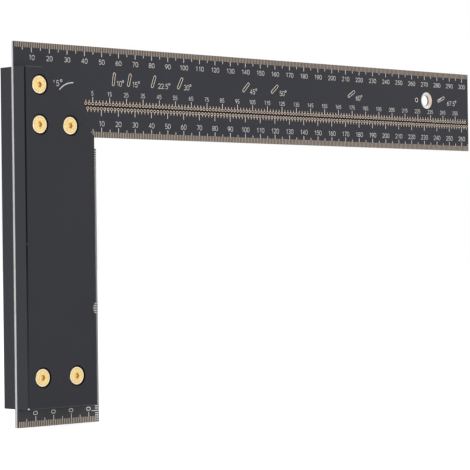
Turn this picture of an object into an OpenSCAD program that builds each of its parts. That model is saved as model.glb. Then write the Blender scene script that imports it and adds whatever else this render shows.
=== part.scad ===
// Carpenter square: an L-shaped blade clamped between two stock plates by countersunk socket screws.
// Millimetres. X runs along the arm, Z up along the leg, and the front face looks to -Y.
// The finished square stands on its foot, with the origin under the middle of its length.
// Each piece is first drawn from the inner scale's zero, at the arm's lower edge just off the fence.

/* [Blade] */
// Length of the arm, from the stock's outer edge to the tip
blade_len = 305; // [302:1:320]
// Width of the arm
arm_w = 40; // [38:0.5:44]
// Width of the leg
leg_w = 46; // [44:0.5:50]
// Height of the leg, from the arm's upper edge to the foot
leg_h = 165; // [160:1:180]
// Thickness of the blade
blade_t = 1.8; // [1.4:0.1:2.5]
// Height of the relief in the blade's inner corner, below the arm
relief_h = 5; // [4:0.5:7]
// Depth of that relief into the leg
relief_w = 5; // [4:0.5:6]

/* [Stock] */
// Width of the plates, from the stock's outer edge to its fence
stock_w = 39; // [38.5:0.5:42]
// Distance from the fence out to the zero of the inner scale
zero_gap = 0.5; // [0:0.1:1]
// Thickness of each stock plate
stock_t = 7.5; // [6.5:0.5:9]
// Distance from the arm's upper edge down to the plates
stock_drop = 11; // [9:0.5:13]
// Distance from the foot up to the plates
stock_lift = 8; // [6:0.5:10]
// Length of the 45 degree cut along each side of the inner corner
mitre = 29; // [26:0.5:31]
// Bevel around each plate's outer face
bevel = 0.5; // [0.2:0.1:1]
// Radius of the half-round notch in the fence
notch_r = 2.45; // [1.5:0.05:3]
// Depth of the notch below the arm's lower edge
notch_drop = 74.8; // [70:0.2:80]

/* [Scribing holes] */
// Diameter of each scribing hole
scribe_d = 0.8; // [0.5:0.1:1]
// Distance from one hole to the next in the same row
scribe_pitch = 2; // [2:0.5:4]
// Height of the lower row above the arm's lower edge
scribe_rise = 12.75; // [11:0.05:14]
// Distance between the two rows
row_gap = 2.2; // [2:0.1:3]

/* [Angle slots] */
// Height of the slots' centres above the arm's lower edge
slot_rise = 26.2; // [24.5:0.1:27]
// Length of each slot from end to end
slot_len = 5.4; // [4:0.2:6]
// Width of each slot
slot_w = 0.85; // [0.6:0.05:1.4]
// Distance from the inner scale's zero back to the line that the slots' rays start from
ray_back = 0.25; // [0:0.05:0.5]

/* [Hanging hole] */
// Diameter of the hanging hole
hang_d = 5.5; // [5:0.1:7]
// Width of the bevel around the hanging hole's front rim
hang_rim = 1.45; // [0.8:0.05:1.6]
// Depth of that bevel
hang_sink = 0.8; // [0.3:0.05:1.1]
// Distance from the last angle slot's centre back to the hanging hole
hang_back = 11.55; // [11.4:0.05:13]
// Height of the hanging hole's centre above the arm's lower edge
hang_rise = 25.2; // [24:0.2:27]
// Diameter of the small pivot hole
pivot_d = 1.5; // [0.8:0.1:1.8]
// Distance from the hanging hole back to the pivot hole
pivot_back = 7.9; // [7.2:0.1:10]

/* [Screws] */
// Diameter of the screw thread
thread_d = 4; // [3:0.5:4]
// Diameter of the screw head
head_d = 7.75; // [7:0.05:8.2]
// Width across the flats of the hexagon socket
socket_af = 2.5; // [2:0.1:3]
// Depth of the hexagon socket
socket_deep = 1.2; // [1:0.1:2]
// Depth of the heads' faces below the front plate's outer face
head_sink = 0.3; // [0.1:0.05:0.4]
// Distance of the outer screws from the stock's outer edge
screw_side = 8.2; // [7.5:0.1:9]
// Distance of the uppermost screw from the plates' upper edge
screw_top = 7.75; // [7.5:0.25:9]
// Distance between neighbouring screws at the upper end
screw_step = 17; // [14:0.5:18]
// Distance between the two screws at the foot
foot_step = 19.1; // [15:0.1:20]
// Height of the foot screws above the lower edge of the plates
foot_rise = 13.3; // [10:0.1:16]

/* [Hidden] */
$fn = 48;
// Labelled angles of the slots, from the fence line
slot_angles = [10, 15, 22.5, 30, 45, 50, 60, 67.5];
// Clearance around the screws' heads and threads
gap = 0.08;
// Overlap that makes a cut run past the face it opens
past = 1;
// Outer edge, tip and inner edge of the blade, from the inner scale's zero
outer = -stock_w - zero_gap;
reach = blade_len + outer;
leg_in = outer + leg_w;
foot_z = arm_w - leg_h;
plate_top = arm_w - stock_drop;
plate_foot = foot_z + stock_lift;
ray_h = notch_drop + slot_rise;
hang_x = slot_x(slot_angles[len(slot_angles) - 1]) - hang_back;
scribe_last = floor(reach - 1);
// Solid metal left behind the tapped holes, and the room under the screws' ends
tap_floor = 1.6;
tap_room = 1;
screw_len = 2 * stock_t + blade_t - tap_floor - tap_room - head_sink;
// Straight rim of each head, the small bevel on it, and the bevel at the screw's end
lip = 0.25;
lip_bevel = 0.15;
end_bevel = 0.4;
// Cone under each head, and the countersink that holds it, down to the thread's own diameter
cone_h = (head_d - thread_d) / 2;
sink_h = cone_h + lip + head_sink + gap * sqrt(2);
// Holes that the screws pass through without gripping
through_d = thread_d + 0.4;
screw_out = [outer + screw_side, plate_top - screw_top];
// Screw centres: an L of three at the upper end and a pair at the foot
screw_at = [
  screw_out,
  screw_out - [0, screw_step],
  screw_out + [screw_step, -screw_step],
  [outer + screw_side, plate_foot + foot_rise],
  [outer + screw_side + foot_step, plate_foot + foot_rise]
];
// Plate outline, counter-clockwise from the outer corner at the foot
plate_pts = [
  [outer, plate_foot],
  [-zero_gap, plate_foot],
  [-zero_gap, plate_top - mitre],
  [-zero_gap - mitre, plate_top],
  [outer, plate_top]
];

// Distance along the arm of the slot whose ray, from the notch's height, leans by a degrees
function slot_x(a) = ray_h * tan(a) - ray_back;

// Turns a flat X-Z shape into a plate that starts at y0 and runs h towards -Y
module sheet(y0, h) {
  translate([0, y0, 0])
    rotate([90, 0, 0])
      linear_extrude(height = h)
        children();
}

// Axis of a round feature at p = [x, z], starting at y0 and pointing to -Y
module drill(p, y0) {
  translate([p[0], y0, p[1]])
    rotate([90, 0, 0])
      children();
}

module blade_outline() {
  difference() {
    polygon([
      [outer, foot_z],
      [leg_in, foot_z],
      [leg_in, 0],
      [reach, 0],
      [reach, arm_w],
      [outer, arm_w]
    ]);
    corner_relief();
  }
}

// Round-ended relief under the arm, so that a sharp or burred corner of the work clears the blade
module corner_relief() {
  translate([leg_in - relief_w + relief_h / 2, -relief_h / 2])
    circle(d = relief_h);
  translate([leg_in - relief_w + relief_h / 2, -relief_h])
    square([relief_w - relief_h / 2 + past, relief_h]);
}

// Places of the scribing holes: odd millimetres in the upper row, even ones in the lower row
module each_scribing_hole() {
  for (x = [scribe_pitch / 2 : scribe_pitch : scribe_last])
    translate([x, scribe_rise + row_gap])
      children();
  for (x = [scribe_pitch : scribe_pitch : scribe_last])
    translate([x, scribe_rise])
      children();
}

// Places of the slots: each lies on a ray from the notch's height at its own angle to the fence
module each_slot() {
  for (a = slot_angles)
    if (slot_x(a) + slot_len / 2 < reach - 2)
      translate([slot_x(a), slot_rise])
        rotate(-a)
          children();
}

module slot_shape() {
  run = slot_len - slot_w;
  square([slot_w, run], center = true);
  for (side = [-1, 1])
    translate([0, side * run / 2])
      circle(d = slot_w, $fn = 24);
}

module blade() {
  front = -blade_t / 2;
  color("DimGray")
    difference() {
      sheet(blade_t / 2, blade_t)
        difference() {
          blade_outline();
          each_scribing_hole()
            circle(d = scribe_d, $fn = 24);
          each_slot()
            slot_shape();
        }
      for (p = screw_at)
        drill(p, blade_t / 2 + past)
          cylinder(d = through_d, h = blade_t + 2 * past);
      drill([hang_x, hang_rise], blade_t / 2 + past)
        cylinder(d = hang_d, h = blade_t + 2 * past);
      drill([hang_x, hang_rise], front + hang_sink)
        cylinder(d1 = hang_d, d2 = hang_d + 2 * hang_rim * (1 + past / hang_sink), h = hang_sink + past);
      drill([hang_x - pivot_back, hang_rise], blade_t / 2 + past)
        cylinder(d = pivot_d, h = blade_t + 2 * past);
    }
}

// Plate lying on the X-Y plane with its outer face up and bevelled
module stock_plate() {
  count = len(plate_pts);
  difference() {
    linear_extrude(height = stock_t)
      difference() {
        polygon(plate_pts);
        translate([-zero_gap, -notch_drop])
          circle(r = notch_r);
      }
    for (i = [0 : count - 1]) {
      a = plate_pts[i];
      b = plate_pts[(i + 1) % count];
      translate([(a[0] + b[0]) / 2, (a[1] + b[1]) / 2, stock_t])
        rotate([0, 0, atan2(b[1] - a[1], b[0] - a[0])])
          rotate([45, 0, 0])
            cube([norm(b - a) + 4 * bevel, bevel * sqrt(2), bevel * sqrt(2)], center = true);
    }
  }
}

module front_plate() {
  face = -blade_t / 2 - stock_t;
  color("#2c2d31")
    difference() {
      translate([0, -blade_t / 2, 0])
        rotate([90, 0, 0])
          stock_plate();
      for (p = screw_at) {
        drill(p, -blade_t / 2 + past)
          cylinder(d = through_d, h = stock_t + 2 * past);
        drill(p, face + sink_h)
          cylinder(d1 = thread_d, d2 = thread_d + 2 * (sink_h + past), h = sink_h + past);
      }
    }
}

module back_plate() {
  color("#2c2d31")
    difference() {
      translate([0, blade_t / 2, 0])
        mirror([0, 1, 0])
          rotate([90, 0, 0])
            stock_plate();
      for (p = screw_at)
        drill(p, blade_t / 2 + stock_t - tap_floor)
          cylinder(d = thread_d + 2 * gap, h = stock_t);
    }
}

// One screw along -Y, its head seated in the front plate's countersink
module screw(p) {
  color("Goldenrod")
    drill(p, -blade_t / 2 - stock_t + head_sink + screw_len)
      difference() {
        rotate_extrude()
          polygon([
            [0, 0],
            [thread_d / 2 - end_bevel, 0],
            [thread_d / 2, end_bevel],
            [thread_d / 2, screw_len - cone_h - lip],
            [head_d / 2, screw_len - lip],
            [head_d / 2, screw_len - lip_bevel],
            [head_d / 2 - lip_bevel, screw_len],
            [0, screw_len]
          ]);
        translate([0, 0, screw_len - socket_deep])
          cylinder(d = socket_af / cos(30), h = socket_deep + past, $fn = 6);
      }
}

// Moves a piece from the inner scale's zero to its place in the standing square
module placed() {
  translate([-(outer + reach) / 2, 0, -foot_z])
    children();
}

placed() blade();
placed() front_plate();
placed() back_plate();
placed() screw(screw_at[0]);  // screw_1
placed() screw(screw_at[1]);  // screw_2
placed() screw(screw_at[2]);  // screw_3
placed() screw(screw_at[3]);  // screw_4
placed() screw(screw_at[4]);  // screw_5
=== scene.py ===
"""Carpenter square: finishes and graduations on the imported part, with the photograph's camera and light."""

import math

import bmesh
import bpy
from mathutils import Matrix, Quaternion, Vector


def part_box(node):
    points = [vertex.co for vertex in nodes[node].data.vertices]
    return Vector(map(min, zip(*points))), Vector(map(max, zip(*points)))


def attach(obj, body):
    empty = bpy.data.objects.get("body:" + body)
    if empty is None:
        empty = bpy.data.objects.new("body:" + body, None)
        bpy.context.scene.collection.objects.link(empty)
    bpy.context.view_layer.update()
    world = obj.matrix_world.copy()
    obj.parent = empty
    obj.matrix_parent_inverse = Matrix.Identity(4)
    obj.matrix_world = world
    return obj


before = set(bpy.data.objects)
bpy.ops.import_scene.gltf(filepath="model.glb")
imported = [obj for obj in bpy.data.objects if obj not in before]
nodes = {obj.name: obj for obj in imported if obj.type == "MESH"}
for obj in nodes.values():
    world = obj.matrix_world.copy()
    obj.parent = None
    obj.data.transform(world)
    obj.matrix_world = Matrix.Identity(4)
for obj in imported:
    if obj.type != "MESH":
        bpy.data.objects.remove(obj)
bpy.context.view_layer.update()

# Sizes of the part in millimetres, with X from the inner scale's zero and Z from the arm's lower edge
MM = 0.001
ARM_W = 40.0
LEG_W = 46.0
# From the fence out to the inner scale's zero
ZERO_GAP = 0.5
# Height of the relief in the blade's inner corner
RELIEF_H = 5.0
# X plus Z along the plates' 45 degree cut
MITRE_SUM = -0.5
# Scribing holes: radius, height of the lower row and distance between the rows
SCRIBE_R = 0.4
SCRIBE_RISE = 12.75
ROW_GAP = 2.2
# Angle slots, on rays that start RAY_H below them and RAY_BACK behind the zero
SLOT_RISE = 26.2
SLOT_LEN = 5.4
SLOT_W = 0.85
RAY_H = 101.0
RAY_BACK = 0.25
# Hanging hole, with a reach that takes in its wall, and pivot hole
HANG_AT = (232.04, 25.2)
HANG_REACH = 4.0
PIVOT_AT = (224.14, 25.2)
PIVOT_R = 0.75
# Room that holds a screw's socket: out from the axis, and from just below the head's face
SOCKET_REACH = 1.5
SOCKET_SKIN = 0.05
SOCKET_ROOM = 2.0

# The zero's place in metres, and the blade's outline in millimetres from it
blade_lo, blade_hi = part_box("blade")
plate_lo, plate_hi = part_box("front_plate")
ZERO_X = plate_hi.x + ZERO_GAP * MM
ZERO_Z = blade_hi.z - ARM_W * MM
OUTER = (blade_lo.x - ZERO_X) / MM
TIP = (blade_hi.x - ZERO_X) / MM
FOOT = (blade_lo.z - ZERO_Z) / MM
LEG_IN = OUTER + LEG_W


# Node trees
# Sockets of a colour mix, by number
MIX_FACTOR, MIX_A, MIX_B, MIX_RESULT = 0, 6, 7, 2
# Nearly all of a noise lies between these
NOISE_LOW = 0.3
NOISE_HIGH = 0.7


def add_node(tree, kind, inputs=None, **settings):
    """Adds a node with its settings, and links or sets the inputs that are given."""
    node = tree.nodes.new(kind)
    for key, value in settings.items():
        setattr(node, key, value)
    for key, value in (inputs or {}).items():
        if isinstance(value, bpy.types.NodeSocket):
            tree.links.new(value, node.inputs[key])
        else:
            node.inputs[key].default_value = value
    return node


def largest(tree, first, *others):
    for other in others:
        first = add_node(tree, "ShaderNodeMath", {0: first, 1: other}, operation="MAXIMUM").outputs[0]
    return first


class Finish:
    """One procedural material: a Principled shader with its plain values, and calls that add nodes to it."""

    def __init__(self, name, colour, roughness, metallic=0.0, specular=0.5):
        self.material = bpy.data.materials.new(name)
        self.material.use_nodes = True
        self.tree = self.material.node_tree
        self.shader = self.tree.nodes["Principled BSDF"]
        self.shader.inputs["Base Color"].default_value = (*colour, 1)
        self.shader.inputs["Metallic"].default_value = metallic
        self.shader.inputs["Roughness"].default_value = roughness
        self.shader.inputs["Specular IOR Level"].default_value = specular

    def add(self, kind, inputs=None, **settings):
        return add_node(self.tree, kind, inputs, **settings)

    def place(self, scale=(1, 1, 1), space="Object"):
        """The object's own coordinates, stretched by scale."""
        coords = self.add("ShaderNodeTexCoord").outputs[space]
        return self.add("ShaderNodeMapping", {"Vector": coords, "Scale": scale}).outputs["Vector"]

    def spot(self):
        """X, Y and Z of the surface, in metres."""
        return self.add("ShaderNodeSeparateXYZ", {"Vector": self.place()}).outputs

    def distance(self, place, point):
        return self.add("ShaderNodeVectorMath", {0: place, 1: point}, operation="DISTANCE").outputs["Value"]

    def noise(self, grains, detail=2.0, rough=0.5):
        """Noise from 0 to 1, with so many grains per metre: one number, or one for each axis."""
        scale = grains if isinstance(grains, tuple) else (grains,) * 3
        inputs = {"Vector": self.place(scale), "Scale": 1.0, "Detail": detail, "Roughness": rough}
        return self.add("ShaderNodeTexNoise", inputs).outputs["Fac"]

    def math(self, operation, a, b=0.0):
        return self.add("ShaderNodeMath", {0: a, 1: b}, operation=operation).outputs[0]

    def product(self, first, *others):
        for other in others:
            first = self.math("MULTIPLY", first, other)
        return first

    def off(self, value, middle):
        """How far value lies from middle."""
        return self.math("ABSOLUTE", self.math("SUBTRACT", value, middle))

    def weigh(self, first, second, share):
        """Sum of two noises: share of the first, and the rest of the second."""
        return self.math("ADD", self.product(first, share), self.product(second, 1 - share))

    def spread(self, value, low, high, start=NOISE_LOW, end=NOISE_HIGH):
        """Maps value from start..end to low..high."""
        inputs = {"Value": value, "From Min": start, "From Max": end, "To Min": low, "To Max": high}
        return self.add("ShaderNodeMapRange", inputs, clamp=True).outputs["Result"]

    def rise(self, value, start, end):
        """0 up to start, and 1 from end on."""
        return self.spread(value, 0, 1, start, end)

    def fall(self, value, start, end):
        """1 up to start, and 0 from end on."""
        return self.spread(value, 1, 0, start, end)

    def blend(self, value, first, second):
        """Colour that runs from first to second as value goes from 0 to 1."""
        ends = [c if isinstance(c, bpy.types.NodeSocket) else (*c, 1) for c in (first, second)]
        inputs = {MIX_FACTOR: value, MIX_A: ends[0], MIX_B: ends[1]}
        return self.add("ShaderNodeMix", inputs, data_type="RGBA").outputs[MIX_RESULT]

    def mottle(self, noise, low, high):
        """Colour that wanders between low and high with the noise."""
        return self.blend(self.spread(noise, 0, 1), low, high)

    def feed(self, socket, value):
        self.tree.links.new(value, self.shader.inputs[socket])

    def bump(self, height, depth, strength=0.5):
        """Raises the surface by height times depth, in millimetres."""
        inputs = {"Height": height, "Distance": depth * MM, "Strength": strength}
        self.feed("Normal", self.add("ShaderNodeBump", inputs).outputs["Normal"])


# Materials
# Distance of the painted glint on the front plate from each side of its corner
GLINT_IN = 0.25
# Rings turned into a screw's head: radius and reach as shares of the head's width, and colour
SCREW_RINGS = (
    (0.25, 0.03, (0.58, 0.42, 0.16)),
    (0.345, 0.02, (0.56, 0.42, 0.18)),
    (0.41, 0.025, (0.46, 0.36, 0.17)),
)
# Turns of the tool marks on a screw's head, in radians over the head's width
SCREW_TURNS = 210.0


def coat_finish():
    """Satin black coat: fine grain, faint rubbing, soft clouds, a brown heat tint, and a foot painted paler
    as painted light where the plates shade it.
    """
    f = Finish("blade_coat", (0.011, 0.0117, 0.0195), 0.45, specular=0.28)
    grain = f.noise(5200)
    rub = f.noise((160, 900, 2600), 3.0)
    cloud = f.noise(26, 3.0, 0.55)
    black = f.mottle(f.weigh(grain, cloud, 0.55), (0.008, 0.0086, 0.0152), (0.0138, 0.0146, 0.0232))
    x, _, z = f.spot()
    between_rows = ZERO_Z + (SCRIBE_RISE + ROW_GAP / 2) * MM
    beside = f.fall(f.off(z, between_rows), 2.2 * MM, 2.8 * MM)
    begun = f.rise(x, ZERO_X + 0.1 * MM, ZERO_X + 0.6 * MM)
    tinted = f.blend(f.product(beside, begun, 0.95), black, (0.015, 0.0047, 0.0008))
    # Painted light: the coat is painted paler within a few millimetres of the foot, to lift the shade that
    # the plates cast there.
    painted_foot_light = f.fall(z, blade_lo.z + 8 * MM, blade_lo.z + 11 * MM)
    f.feed("Base Color", f.blend(painted_foot_light, tinted, (0.036, 0.037, 0.043)))
    f.feed("Roughness", f.math("ADD", f.spread(cloud, 0.38, 0.48), f.spread(rub, -0.04, 0.05)))
    f.bump(grain, 0.012)
    return f.material


def plate_finish():
    """Black anodised aluminium with a fine blasted grain."""
    f = Finish("stock_black", (0.011, 0.0116, 0.018), 0.48, specular=0.26)
    grain = f.noise(7000, rough=0.6)
    cloud = f.noise(40, 3.0, 0.55)
    tone = f.weigh(grain, cloud, 0.6)
    f.feed("Base Color", f.mottle(tone, (0.0085, 0.009, 0.0142), (0.014, 0.0147, 0.0218)))
    f.feed("Roughness", f.math("ADD", f.spread(grain, 0.42, 0.5), f.spread(cloud, -0.03, 0.04)))
    f.bump(grain, 0.02, 0.6)
    return f.material


def bevel_finish(name, low, high, specular):
    """Plate bevels: smooth anodising, painted paler towards the foot and the top as a painted highlight, with
    dashes of bare metal and a painted glint at one corner.
    """
    f = Finish(name, high, 0.3, specular=specular)
    grain = f.noise(6000)
    worn = f.rise(f.noise((700, 2500, 700), 4.0, 0.65), 0.66, 0.74)
    _, _, z = f.spot()
    # Painted highlight: the bevels turn grey towards the plates' foot and top, where they catch the light.
    near_foot = f.fall(z, plate_lo.z + 4 * MM, plate_lo.z + 70 * MM)
    near_top = f.spread(z, 0, 0.3, plate_hi.z - 30 * MM, plate_hi.z)
    painted_bevel_light = largest(f.tree, near_foot, near_top)
    grey = f.blend(painted_bevel_light, f.mottle(grain, low, high), (0.032, 0.033, 0.037))
    dashed = f.blend(worn, grey, (0.16, 0.16, 0.165))
    # Painted highlight: a small pale spot at the front plate's lower corner stands in for a glint there.
    corner = [c + GLINT_IN * MM for c in plate_lo]
    painted_glint = f.fall(f.distance(f.place(), corner), 0.35 * MM, 0.55 * MM)
    f.feed("Base Color", f.blend(painted_glint, dashed, (0.75, 0.75, 0.75)))
    f.feed("Metallic", f.product(worn, 0.8))
    f.feed("Roughness", f.spread(grain, 0.26, 0.36))
    f.bump(grain, 0.01, 0.4)
    return f.material


def sink_finish():
    """Countersink cone around a screw head: deep matt black, painted as the shade in the gap around the head,
    with faint turned lines.
    """
    f = Finish("stock_countersink_painted_shade", (0.004, 0.004, 0.005), 0.6, specular=0.1)
    turned = f.noise((300, 9000, 300))
    f.feed("Base Color", f.mottle(turned, (0.004, 0.0022, 0.0008), (0.011, 0.006, 0.002)))
    f.feed("Roughness", f.spread(turned, 0.5, 0.7))
    f.bump(turned, 0.01, 0.4)
    return f.material


def edge_finish():
    """Bright ground edge of the blade, coated at its front corner, with a dark joint line at its back one."""
    f = Finish("blade_edge", (0.5, 0.5, 0.51), 0.35, metallic=1.0)
    lines = f.noise((90, 9000, 90), 3.0, 0.6)
    patch = f.noise(140, 3.0)
    bright = f.mottle(f.weigh(lines, patch, 0.6), (0.36, 0.36, 0.37), (0.52, 0.52, 0.53))
    x, y, z = f.spot()
    across = f.math("ADD", y, f.product(f.spread(f.noise(700, 3.0), -1, 1), 0.05 * MM))
    above_foot = f.rise(z, plate_lo.z - 0.1 * MM, plate_lo.z + 0.1 * MM)
    below_top = f.fall(z, plate_hi.z - 0.1 * MM, plate_hi.z + 0.1 * MM)
    at_outside = f.fall(x, blade_lo.x + 0.5 * MM, blade_lo.x + MM)
    joint = f.product(above_foot, below_top, at_outside, f.rise(across, 0.4 * MM, 0.5 * MM))
    coated = largest(f.tree, joint, f.fall(across, -0.72 * MM, -0.62 * MM))
    polished = f.product(f.math("SUBTRACT", 1.0, below_top), f.rise(across, 0.1 * MM, 0.6 * MM))
    shine = f.blend(polished, bright, (0.88, 0.88, 0.89))
    f.feed("Base Color", f.blend(coated, shine, (0.02, 0.021, 0.026)))
    f.feed("Metallic", f.math("SUBTRACT", 1.0, coated))
    f.feed("Roughness", f.spread(lines, 0.28, 0.45))
    f.bump(lines, 0.01)
    return f.material


def rim_finish(name, low, high, roughness):
    """Cut metal in a hole's wall, darkened as painted shade of the bore: warm, with small turned marks and an
    uneven tone.
    """
    f = Finish(name, high, roughness, metallic=0.75)
    fine = f.noise(6000, 3.0, 0.6)
    patch = f.noise(900)
    f.feed("Base Color", f.mottle(f.weigh(fine, patch, 0.45), low, high))
    f.feed("Roughness", f.spread(fine, roughness - 0.08, roughness + 0.1))
    f.bump(fine, 0.012)
    return f.material


def hang_rim_finish():
    """Bevel of the hanging hole: bright tan metal, painted whiter on the fence side as a painted reflection.
    """
    f = Finish("hang_rim", (0.64, 0.54, 0.465), 0.5, metallic=0.75)
    fine = f.noise(6000, 3.0, 0.6)
    tan = f.mottle(fine, (0.53, 0.435, 0.37), (0.66, 0.56, 0.485))
    x, _, _ = f.spot()
    middle = ZERO_X + HANG_AT[0] * MM
    # Painted reflection: the bevel turns whiter towards the fence side of the hole.
    white = f.fall(x, middle - 0.5 * MM, middle + 2 * MM)
    f.feed("Base Color", f.blend(white, tan, (0.68, 0.65, 0.665)))
    f.feed("Roughness", f.spread(fine, 0.42, 0.6))
    f.bump(fine, 0.012)
    return f.material


def scorch_finish():
    """Narrow band scorched between the two scribing rows: matt brown-black."""
    f = Finish("scorch_mark", (0.006, 0.0022, 0.0006), 0.75, specular=0.06)
    fine = f.noise(5200, rough=0.6)
    f.feed("Base Color", f.mottle(fine, (0.008, 0.0032, 0.0009), (0.018, 0.0075, 0.0022)))
    f.feed("Roughness", f.spread(fine, 0.65, 0.85))
    f.bump(fine, 0.006)
    return f.material


def mark_finish(name, low, high):
    """Laser-marked line, rim or numeral: warm and pale, with a slightly uneven burn."""
    f = Finish(name, high, 0.62, specular=0.3)
    fine = f.noise(5200, rough=0.6)
    patch = f.noise(350, 3.0)
    f.feed("Base Color", f.mottle(f.weigh(fine, patch, 0.5), low, high))
    f.feed("Roughness", f.spread(fine, 0.52, 0.72))
    f.bump(fine, 0.006)
    return f.material


def screw_finish():
    """Turned brass head: a cream rim, a fine dark groove inside it, and tool marks around the gold face."""
    f = Finish("screw_gold", (0.68, 0.5, 0.21), 0.32, metallic=1.0)
    radius = f.distance(f.place((1, 0, 1), "Generated"), (0.5, 0, 0.5))
    patch = f.noise(1100, 3.0)
    gold = f.mottle(patch, (0.71, 0.505, 0.2), (0.79, 0.595, 0.285))
    for middle, reach, shade in SCREW_RINGS:
        gold = f.blend(f.fall(f.off(radius, middle), 0.3 * reach, reach), gold, shade)
    f.feed("Base Color", f.blend(f.rise(radius, 0.42, 0.445), gold, (0.76, 0.66, 0.48)))
    f.feed("Roughness", f.spread(patch, 0.26, 0.38))
    f.bump(f.math("SINE", f.product(radius, SCREW_TURNS)), 0.008)
    return f.material


def socket_finish(name, low, high, metallic):
    """Inside of the hexagon socket: pressed brass, scuffed by the key; its walls take a deeper copy as
    painted shade and its floor a paler one as painted light.
    """
    f = Finish(name, high, 0.42, metallic=metallic)
    scuff = f.noise((3000, 700, 3000), 3.0, 0.6)
    f.feed("Base Color", f.mottle(scuff, low, high))
    f.feed("Roughness", f.spread(scuff, 0.34, 0.52))
    f.bump(scuff, 0.01)
    return f.material


# Finishes on the CAD solids
# Parts of a normal along an axis: a face above FLAT lies square to it, and one above LEANING leans that way
FLAT = 0.95
LEANING = 0.3
# Millimetres within which a face's centre counts as on the blade's outline, or on a plate's bevel
ON_OUTLINE = 0.02
ON_BEVEL = 0.6


def dress(node, materials, choose):
    """Gives a CAD node its materials, and each of its faces the one that choose names."""
    mesh = nodes[node].data
    mesh.materials.clear()
    order = list(materials)
    for name in order:
        mesh.materials.append(materials[name])
    for face in mesh.polygons:
        face.material_index = order.index(choose(face.normal, face.center))
    mesh.update()


def on_scale(centre):
    """X and Z in millimetres from the inner scale's zero."""
    return (centre.x - ZERO_X) / MM, (centre.z - ZERO_Z) / MM


def blade_face(normal, centre):
    """Coat on the flat faces, bright metal on the outline, and darker finishes inside the holes, painted as
    the shade of the bores.
    """
    x, z = on_scale(centre)
    lean = abs(normal.y)
    if lean > FLAT:
        return "coat"
    if lean > LEANING:
        return "hang_rim"
    if math.hypot(x - HANG_AT[0], z - HANG_AT[1]) < HANG_REACH:
        return "hang_wall_shade"
    outline = min(x - OUTER, TIP - x, ARM_W - z, z - FOOT, abs(x - LEG_IN)) < ON_OUTLINE
    inner_corner = -RELIEF_H - ON_OUTLINE < z < ON_OUTLINE and x > 0
    return "edge" if outline or inner_corner else "hole_wall_shade"


def plate_face(normal, centre):
    """Bevels lean between the plate's face and its edges, and so do the countersinks further in; upward
    bevels take a lighter copy of the bevel finish as painted light, and the rest a darker one as painted
    shade.
    """
    x, z = on_scale(centre)
    beside = min(centre.x - plate_lo.x, plate_hi.x - centre.x) / MM
    above = min(centre.z - plate_lo.z, plate_hi.z - centre.z) / MM
    mitre = (MITRE_SUM - x - z) / math.sqrt(2)
    if not LEANING < abs(normal.y) < FLAT:
        return "plate"
    if min(beside, above, mitre) > ON_BEVEL:
        return "sink"
    if normal.z > LEANING:
        return "plate" if normal.x > LEANING else "top_bevel"
    return "bevel"


def screw_face(axis_x, axis_z, face_y):
    """The choice for a screw with that axis, and its head's face at face_y."""
    def choose(normal, centre):
        inside = math.hypot(centre.x - axis_x, centre.z - axis_z) < SOCKET_REACH * MM
        if not inside or not SOCKET_SKIN * MM < centre.y - face_y < SOCKET_ROOM * MM:
            return "gold"
        return "socket_floor_light" if abs(normal.y) > FLAT else "socket_wall_shade"
    return choose


blade_materials = {
    "coat": coat_finish(),
    "edge": edge_finish(),
    # Painted shade: the walls of the holes and slots, and of the hanging hole, are coloured darker than the
    # cut metal of the outline and the bevel.
    "hole_wall_shade": rim_finish("hole_wall_shade", (0.006, 0.0042, 0.0032), (0.02, 0.0145, 0.011), 0.5),
    "hang_rim": hang_rim_finish(),
    "hang_wall_shade": rim_finish("hang_wall_shade", (0.11, 0.088, 0.074), (0.18, 0.15, 0.13), 0.45),
}
dress("blade", blade_materials, blade_face)
plate_materials = {
    "plate": plate_finish(),
    # Lit and shaded copies of one bevel finish: the upward bevels are painted lighter and glossier, the side
    # and lower ones darker and duller.
    "bevel": bevel_finish("stock_bevel_painted_shade", (0.0032, 0.0033, 0.0044), (0.006, 0.0062, 0.008), 0.12),
    "top_bevel": bevel_finish("stock_top_bevel_painted_light", (0.004, 0.0042, 0.006), (0.0085, 0.009, 0.0125), 0.3),
    "sink": sink_finish(),
}
for plate in ("front_plate", "back_plate"):
    dress(plate, plate_materials, plate_face)
screw_materials = {
    "gold": screw_finish(),
    # Shaded and lit copies of the brass: deeper orange walls as painted shade, a pale, nearly plain floor as
    # painted light.
    "socket_wall_shade": socket_finish("socket_wall_shade", (0.62, 0.4, 0.09), (0.82, 0.56, 0.17), 0.6),
    "socket_floor_light": socket_finish("socket_floor_light", (1.0, 0.8, 0.35), (1.0, 0.88, 0.46), 0.2),
}
for name in sorted(n for n in nodes if n.startswith("screw_")):
    low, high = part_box(name)
    dress(name, screw_materials, screw_face((low.x + high.x) / 2, (low.z + high.z) / 2, low.y))


# Numerals
def bow(cx, cz, rx, rz, start, end, steps=10):
    """Points along an ellipse from one angle to another, in degrees counter-clockwise from +x."""
    turn = [math.radians(start + (end - start) * i / steps) for i in range(steps + 1)]
    return [(cx + rx * math.cos(t), cz + rz * math.sin(t)) for t in turn]


def ring(cx, cz, rx, rz, steps=20):
    return bow(cx, cz, rx, rz, 0, 360, steps)[:-1]


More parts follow.
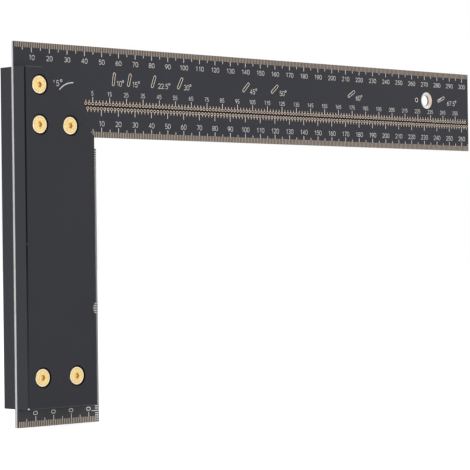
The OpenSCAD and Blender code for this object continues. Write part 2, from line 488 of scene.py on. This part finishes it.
# Each numeral is 1 high: its width, then its strokes as (points, closed)
SIX = [(ring(0.31, 0.3, 0.31, 0.3), True), (bow(0.75, 0.3, 0.75, 0.75, 180, 112, 8), False)]
GLYPHS = {
    "0": (0.62, [(bow(0.31, 0.66, 0.31, 0.34, 0, 180) + bow(0.31, 0.34, 0.31, 0.34, 180, 360), True)]),
    "1": (0.26, [([(0.0, 0.76), (0.26, 1.0), (0.26, 0.0)], False)]),
    "2": (0.6, [(bow(0.3, 0.71, 0.3, 0.29, 165, -38) + [(0.0, 0.0), (0.62, 0.0)], False)]),
    "3": (0.6, [(bow(0.29, 0.75, 0.28, 0.25, 150, -90) + bow(0.29, 0.25, 0.31, 0.25, 90, -150), False)]),
    "4": (0.64, [([(0.47, 0.0), (0.47, 1.0), (0.0, 0.28), (0.64, 0.28)], False)]),
    "5": (0.6, [([(0.56, 1.0), (0.1, 1.0), (0.06, 0.53)] + bow(0.29, 0.32, 0.31, 0.32, 125, -150), False)]),
    "6": (0.62, SIX),
    "7": (0.6, [([(0.0, 1.0), (0.6, 1.0), (0.2, 0.0)], False)]),
    "8": (0.62, [(ring(0.31, 0.75, 0.27, 0.25), True), (ring(0.31, 0.25, 0.31, 0.25), True)]),
    "9": (0.62, [([(0.62 - x, 1 - z) for x, z in points], closed) for points, closed in SIX]),
    ".": (0.06, [([(0.03, 0.0), (0.03, 0.09)], False)]),
    "°": (0.4, [(ring(0.2, 1.0, 0.2, 0.2, 14), True)]),
}
# Room that a sign takes along the line, as a share of a figure's room
ROOM = {".": 0.5, "°": 0.75}

# Marks, in millimetres
# The ribbons stand PROUD of the blade's face and reach SUNK into it; a numeral's next stroke lies higher
PROUD = 0.012
SUNK = 0.03
STROKE_LIFT = 0.001
# Least cosine of half a ribbon's bend that its corners follow
SHARPEST = 0.45
# Outlines of holes and slots: width, and gap from the hole
RIM_W = 0.21
RIM_GAP = 0.09
PIVOT_RIM_W = 0.3
PIVOT_RIM_STEPS = 20
SLOT_RIM_W = 0.25
SLOT_RIM_GAP = 0.06
# Tones, in the order of mark_finishes
TICK, PALE, RIM, CLEAR, WHITE, SCORCH = range(6)


class Marking:
    """Flat closed ribbons let into one face of the blade, drawn in millimetres on that face."""

    def __init__(self, name, side):
        self.name = name
        self.side = side
        self.points = []
        self.faces = []
        self.tones = []

    def ribbon(self, points, width, tone, closed=False, lift=0.0):
        """One ribbon along points; its ends stop at the first and last point."""
        path = [Vector(p) for p in points]
        count = len(path)
        base = len(self.points)
        first_face = len(self.faces)
        face_y = self.side * blade_hi.y
        for i, p in enumerate(path):
            before = path[i - 1] if closed or i else None
            after = path[(i + 1) % count] if closed or i < count - 1 else None
            first = (p - before).normalized() if before else (after - p).normalized()
            second = (after - p).normalized() if after else first
            along = (first + second).normalized()
            across = Vector((-along.y, along.x))
            reach = width / 2 / max(SHARPEST, across.dot(Vector((-first.y, first.x))))
            for end in (p + across * reach, p - across * reach):
                x = ZERO_X + end.x * MM
                z = ZERO_Z + end.y * MM
                for depth in (PROUD + lift, -SUNK):
                    self.points.append((x, face_y + self.side * depth * MM, z))
        for i in range(count if closed else count - 1):
            a = base + 4 * i
            b = base + 4 * ((i + 1) % count)
            self.faces += [(a, b, b + 2, a + 2), (a + 1, a + 3, b + 3, b + 1)]
            self.faces += [(a, a + 1, b + 1, b), (a + 2, b + 2, b + 3, a + 3)]
        if not closed:
            last = base + 4 * (count - 1)
            self.faces += [(base, base + 2, base + 3, base + 1), (last, last + 1, last + 3, last + 2)]
        self.tones += [tone] * (len(self.faces) - first_face)

    def rim(self, x, z, radius, steps=16, width=RIM_W):
        """A thin outline around a round hole."""
        middle = radius + RIM_GAP + width / 2
        self.ribbon(ring(x, z, middle, middle, steps), width, RIM, True)

    def number(self, text, x, z, style, turned=False, anchor=0.5, tone=PALE):
        """A numeral with its baseline at z; anchor 0.5 centres it on x, and 0 starts it there."""
        height, advance, wide, stroke = style
        size = height - stroke
        rooms = [advance * ROOM.get(c, 1.0) for c in text]
        pen = -anchor * sum(rooms)
        flip = -self.side
        for c, room in zip(text, rooms):
            across, strokes = GLYPHS[c]
            start = pen + (room - across * wide * size) / 2
            for layer, (points, closed) in enumerate(strokes):
                spots = [(start + px * wide * size, stroke / 2 + pz * size) for px, pz in points]
                path = [(x + v, z - u * flip) if turned else (x + u * flip, z + v) for u, v in spots]
                self.ribbon(path, stroke, tone, closed, STROKE_LIFT * layer)
            pen += room

    def build(self, materials):
        mesh = bpy.data.meshes.new(self.name)
        mesh.from_pydata(self.points, [], self.faces)
        for material in materials:
            mesh.materials.append(material)
        mesh.polygons.foreach_set("material_index", self.tones)
        work = bmesh.new()
        work.from_mesh(mesh)
        bmesh.ops.recalc_face_normals(work, faces=work.faces)
        work.to_mesh(mesh)
        work.free()
        piece = bpy.data.objects.new(self.name, mesh)
        bpy.context.scene.collection.objects.link(piece)
        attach(piece, "root")


# Graduations, in millimetres
EDGE_GAP = 0.05
TICK_W = 0.42
INNER_W = 0.47
STUB_W = 0.34
LONG_W = {"five": 0.28, "ten": 0.31}
TICKS = {"one": 2.34, "five": 3.5, "ten": 4.3}
INNER_TICKS = {"one": 2.5, "five": 3.6, "ten": 4.4}
FOOT_TICKS = {"one": 2.55, "five": 3.65, "ten": 4.5}
# Ends of the lines at the scribing holes, from the holes' centres
UPPER_STUB = 1.55
UPPER_LINE = 2.9
LOWER_STUB = 1.5
LOWER_LINE = 3.05
# The scorched line's gaps at the fence, at the tip, and in all beside the rims
SCORCH_START = 0.3
SCORCH_STOP = 0.4
SCORCH_ROOM = 0.36
# The arc of the 45 degree sign
ARC_AT = (-6.12, 12.5)
ARC_R = 11.1
ARC_FROM = 136
ARC_TO = 90
ARC_STEPS = 20
ARC_W = 0.36
# Height, room, width factor and stroke of each scale's numerals
OUTER_STYLE = (2.2, 1.88, 1.1, 0.2)
INNER_STYLE = (2.3, 1.84, 1.05, 0.19)
SCRIBE_STYLE = (1.95, 1.5, 1.0, 0.17)
ANGLE_STYLE = (2.4, 1.8, 1.0, 0.2)
MITRE_STYLE = (2.6, 2.35, 1.0, 0.23)
FOOT_STYLE = (2.5, 1.9, 1.0, 0.3)
# Places of the numerals: drop from the upper edge, rise from the lower edge, the upper row or the foot
OUTER_NUMBER_DROP = 7.7
INNER_NUMBER_RISE = 5.1
SCRIBE_NUMBER_RISE = 3.5
SCRIBE_NUMBER_BACK = 0.15
ANGLE_NUMBER_RISE = 23.17
MITRE_NUMBER_AT = (-15.33, 21.7)
FOOT_NUMBER_RISE = 6.9
FOOT_NUMBER_BACK = 1.4
# Each slot's angle, and the distance from the slot to its number
LABEL_GAP = {10: 1.25, 15: 1.45, 22.5: 2.7, 30: 2.2, 45: 2.55, 50: 3.25, 60: 3.1, 67.5: 4.8}


def tick(n, marking, start, along, lengths, tone=TICK, long_tone=PALE, width=TICK_W):
    """The line at millimetre n, from start along a direction; every fifth one runs on, thinner."""
    edge = Vector(start)
    along = Vector(along)
    short = edge + along * lengths["one"]
    marking.ribbon([edge, short], width, tone)
    if n % 5 == 0:
        rank = "five" if n % 10 else "ten"
        marking.ribbon([short, edge + along * lengths[rank]], LONG_W[rank], long_tone)


def outer_scale(marking):
    """Millimetres along the upper edge, from the outer corner to the tip."""
    for n in range(1, int(TIP - OUTER)):
        x = OUTER + n
        tick(n, marking, (x, ARM_W - EDGE_GAP), (0, -1), TICKS)
        if n % 10 == 0:
            marking.number(str(n), x, ARM_W - OUTER_NUMBER_DROP, OUTER_STYLE)


def inner_scale(marking):
    """Millimetres along the lower edge, from the fence to the tip."""
    for n in range(1, int(TIP) + 1):
        tick(n, marking, (n, EDGE_GAP), (0, 1), INNER_TICKS, width=INNER_W)
        if n % 10 == 0:
            marking.number(str(n), n, INNER_NUMBER_RISE, INNER_STYLE)


def scribing_scale(marking):
    """A rim and a line at each scribing hole, numbers over the upper row, and the scorch between the rows."""
    start = SCRIBE_R + RIM_GAP + RIM_W
    lower = SCRIBE_RISE
    upper = SCRIBE_RISE + ROW_GAP
    middle = SCRIBE_RISE + ROW_GAP / 2
    band = ROW_GAP - 2 * start - SCORCH_ROOM
    marking.ribbon([(SCORCH_START, middle), (TIP - SCORCH_STOP, middle)], band, SCORCH)
    for n in range(1, int(TIP - 1) + 1):
        if n % 2:
            marking.rim(n, upper, SCRIBE_R)
            if n % 5:
                marking.ribbon([(n, upper + start), (n, upper + UPPER_STUB)], STUB_W, CLEAR)
            else:
                marking.ribbon([(n, upper + start), (n, upper + UPPER_LINE)], LONG_W["ten"], PALE)
                marking.number(str(n), n - SCRIBE_NUMBER_BACK, upper + SCRIBE_NUMBER_RISE, SCRIBE_STYLE)
        else:
            marking.rim(n, lower, SCRIBE_R)
            if n % 10:
                marking.ribbon([(n, lower - start), (n, lower - LOWER_STUB)], STUB_W, CLEAR)
            else:
                marking.ribbon([(n, lower - start), (n, lower - LOWER_LINE)], LONG_W["five"], PALE)


def slot_outline(x, angle):
    """Points around a slot that leans by angle, just outside its edge."""
    half = SLOT_W / 2 + SLOT_RIM_GAP + SLOT_RIM_W / 2
    run = (SLOT_LEN - SLOT_W) / 2
    cos = math.cos(math.radians(angle))
    sin = math.sin(math.radians(angle))
    upright = bow(0, run, half, half, 0, 180) + bow(0, -run, half, half, 180, 360)
    return [(x + u * cos + v * sin, SLOT_RISE - u * sin + v * cos) for u, v in upright]


def angle_marks(marking):
    """Each slot's outline and angle, the pivot hole's rim, and the 45 degree sign beside the mitre."""
    # A number lies on the tip's side of its slot on both faces
    anchor = 0 if marking.side < 0 else 1
    for angle, gap in LABEL_GAP.items():
        x = RAY_H * math.tan(math.radians(angle)) - RAY_BACK
        marking.ribbon(slot_outline(x, angle), SLOT_RIM_W, RIM, True)
        marking.number(f"{angle:g}°", x + gap, ANGLE_NUMBER_RISE, ANGLE_STYLE, anchor=anchor)
    marking.rim(*PIVOT_AT, PIVOT_R, PIVOT_RIM_STEPS, PIVOT_RIM_W)
    marking.ribbon(bow(*ARC_AT, ARC_R, ARC_R, ARC_FROM, ARC_TO, ARC_STEPS), ARC_W, WHITE)
    marking.number("45°", *MITRE_NUMBER_AT, MITRE_STYLE)


def leg_scale(marking):
    """Millimetres down the leg's inner edge, below the relief, and along its foot."""
    for n in range(int(RELIEF_H) + 1, int(-FOOT)):
        tick(n, marking, (LEG_IN - EDGE_GAP, -n), (-1, 0), TICKS, PALE)
    zero_z = FOOT + FOOT_NUMBER_RISE
    for n in range(1, int(LEG_W)):
        x = OUTER + n
        # Along the foot the ticks and zeros take the paler CLEAR and WHITE tones: whiter print there, and
        # also painted light that lifts the shade under the plates.
        tick(n, marking, (x, FOOT + EDGE_GAP), (0, 1), FOOT_TICKS, CLEAR, WHITE)
        if n % 10 == 0:
            marking.number("0", x - FOOT_NUMBER_BACK, zero_z, FOOT_STYLE, turned=True, anchor=0, tone=WHITE)


mark_finishes = [
    mark_finish("tick_mark", (0.4, 0.32, 0.25), (0.56, 0.45, 0.35)),
    mark_finish("pale_mark", (0.76, 0.715, 0.665), (0.92, 0.87, 0.815)),
    mark_finish("rim_mark", (0.9, 0.75, 0.64), (1.0, 0.87, 0.77)),
    mark_finish("clear_mark", (0.6, 0.49, 0.39), (0.8, 0.66, 0.53)),
    mark_finish("white_mark", (0.9, 0.88, 0.85), (1.0, 0.98, 0.95)),
    scorch_finish(),
]
SCALES = {
    "outer_scale": outer_scale,
    "inner_scale": inner_scale,
    "scribing_scale": scribing_scale,
    "angle_marks": angle_marks,
    "leg_scale": leg_scale,
}
for side, face in ((-1, "front"), (1, "back")):
    for label, draw in SCALES.items():
        marking = Marking(f"{label}_{face}", side)
        draw(marking)
        marking.build(mark_finishes)


# Floor, light and camera, in metres
WHITE_LIGHT = (1, 1, 1, 1)
FLOOR_HALF = 6.0
FLOOR_DROP = 0.0002
FLOOR_GREY = (0.82, 0.82, 0.82, 1)
FLOOR_GLOW = 0.7
# The studio's light, and its dim side: towards DIM_SIDE its reflection sinks from 1 to DIM_LEVEL
STUDIO_LIGHT = (0.98, 0.99, 1, 1)
STUDIO_LEVEL = 0.55
DIM_SIDE = (-0.705, -0.709, 0.0)
DIM_START = 0.6
DIM_END = 0.95
DIM_LEVEL = 0.15
# The camera's place from the inner scale's zero, its direction, and its roll in degrees
CAMERA_AT = (-0.62746, -0.72531, -0.05051)
CAMERA_FORWARD = (0.704763, 0.709407, 0.007090)
CAMERA_ROLL = -0.723
LENS = 167.10
SENSOR_W = 36.0
CLIP_START = 0.01


def build_floor():
    """A pale floor that keeps the part's shadow, and glows to white where the background is seen."""
    mesh = bpy.data.meshes.new("floor")
    z = blade_lo.z - FLOOR_DROP
    corners = ((-1, -1), (1, -1), (1, 1), (-1, 1))
    mesh.from_pydata([(x * FLOOR_HALF, y * FLOOR_HALF, z) for x, y in corners], [], [(0, 1, 2, 3)])
    floor = bpy.data.objects.new("floor", mesh)
    bpy.context.scene.collection.objects.link(floor)
    material = bpy.data.materials.new("floor")
    material.use_nodes = True
    tree = material.node_tree
    tree.nodes.clear()
    path = add_node(tree, "ShaderNodeLightPath").outputs
    seen = largest(tree, path["Is Camera Ray"], path["Is Glossy Ray"], path["Is Transmission Ray"])
    level = add_node(tree, "ShaderNodeMath", {0: seen, 1: FLOOR_GLOW}, operation="MULTIPLY").outputs[0]
    diffuse = add_node(tree, "ShaderNodeBsdfDiffuse", {"Color": FLOOR_GREY}).outputs[0]
    glow = add_node(tree, "ShaderNodeEmission", {"Color": WHITE_LIGHT, "Strength": level}).outputs[0]
    both = add_node(tree, "ShaderNodeAddShader", {0: diffuse, 1: glow}).outputs[0]
    add_node(tree, "ShaderNodeOutputMaterial", {"Surface": both})
    mesh.materials.append(material)


def background(tree, colour, strength):
    return add_node(tree, "ShaderNodeBackground", {"Color": colour, "Strength": strength}).outputs[0]


def build_world():
    """White to the eye; the studio's dim side keeps the black bevels dark that are turned to it."""
    world = bpy.data.worlds.new("studio")
    bpy.context.scene.world = world
    world.use_nodes = True
    tree = world.node_tree
    tree.nodes.clear()
    path = add_node(tree, "ShaderNodeLightPath").outputs
    way = add_node(tree, "ShaderNodeTexCoord").outputs["Generated"]
    facing = add_node(tree, "ShaderNodeVectorMath", {0: way, 1: DIM_SIDE}, operation="DOT_PRODUCT")
    limits = {"From Min": DIM_START, "From Max": DIM_END, "To Min": 1.0, "To Max": DIM_LEVEL}
    dim = add_node(tree, "ShaderNodeMapRange", {"Value": facing.outputs["Value"], **limits})
    light = background(tree, STUDIO_LIGHT, STUDIO_LEVEL)
    shine = background(tree, WHITE_LIGHT, dim.outputs["Result"])
    white = background(tree, WHITE_LIGHT, 1.0)
    lit = add_node(tree, "ShaderNodeMixShader", {0: path["Is Glossy Ray"], 1: light, 2: shine}).outputs[0]
    seen = largest(tree, path["Is Camera Ray"], path["Is Transmission Ray"])
    mix = add_node(tree, "ShaderNodeMixShader", {0: seen, 1: lit, 2: white}).outputs[0]
    add_node(tree, "ShaderNodeOutputWorld", {"Surface": mix})


def lamp(name, place, target, size, power):
    """A soft rectangular lamp at place that shines on target."""
    data = bpy.data.lights.new(name, "AREA")
    data.shape = "RECTANGLE"
    data.size, data.size_y = size
    data.energy = power
    obj = bpy.data.objects.new(name, data)
    obj.location = place
    obj.rotation_mode = "QUATERNION"
    obj.rotation_quaternion = (Vector(target) - Vector(place)).to_track_quat("-Z", "Y")
    bpy.context.scene.collection.objects.link(obj)


def build_camera():
    """The camera that was fitted to the photograph's scales."""
    data = bpy.data.cameras.new("camera")
    data.lens = LENS
    data.sensor_width = SENSOR_W
    data.clip_start = CLIP_START
    camera = bpy.data.objects.new("camera", data)
    x, y, z = CAMERA_AT
    camera.location = (ZERO_X + x, y, ZERO_Z + z)
    camera.rotation_mode = "QUATERNION"
    roll = Quaternion((0, 0, 1), math.radians(CAMERA_ROLL))
    camera.rotation_quaternion = Vector(CAMERA_FORWARD).to_track_quat("-Z", "Y") @ roll
    bpy.context.scene.collection.objects.link(camera)
    bpy.context.scene.camera = camera


build_floor()
build_world()
lamp("key", place=(0.9, -1.1, 1.1), target=(0, 0, 0.08), size=(1.2, 1.2), power=7)
lamp("front", place=(0.1, -1.7, 0.2), target=(0, 0, 0.06), size=(1.2, 0.3), power=4.2)
lamp("side", place=(-1.3, 0.5, 0.9), target=(-0.1, 0, 0.08), size=(1.2, 1.2), power=10)
build_camera()
bpy.context.scene.view_settings.view_transform = "Standard"
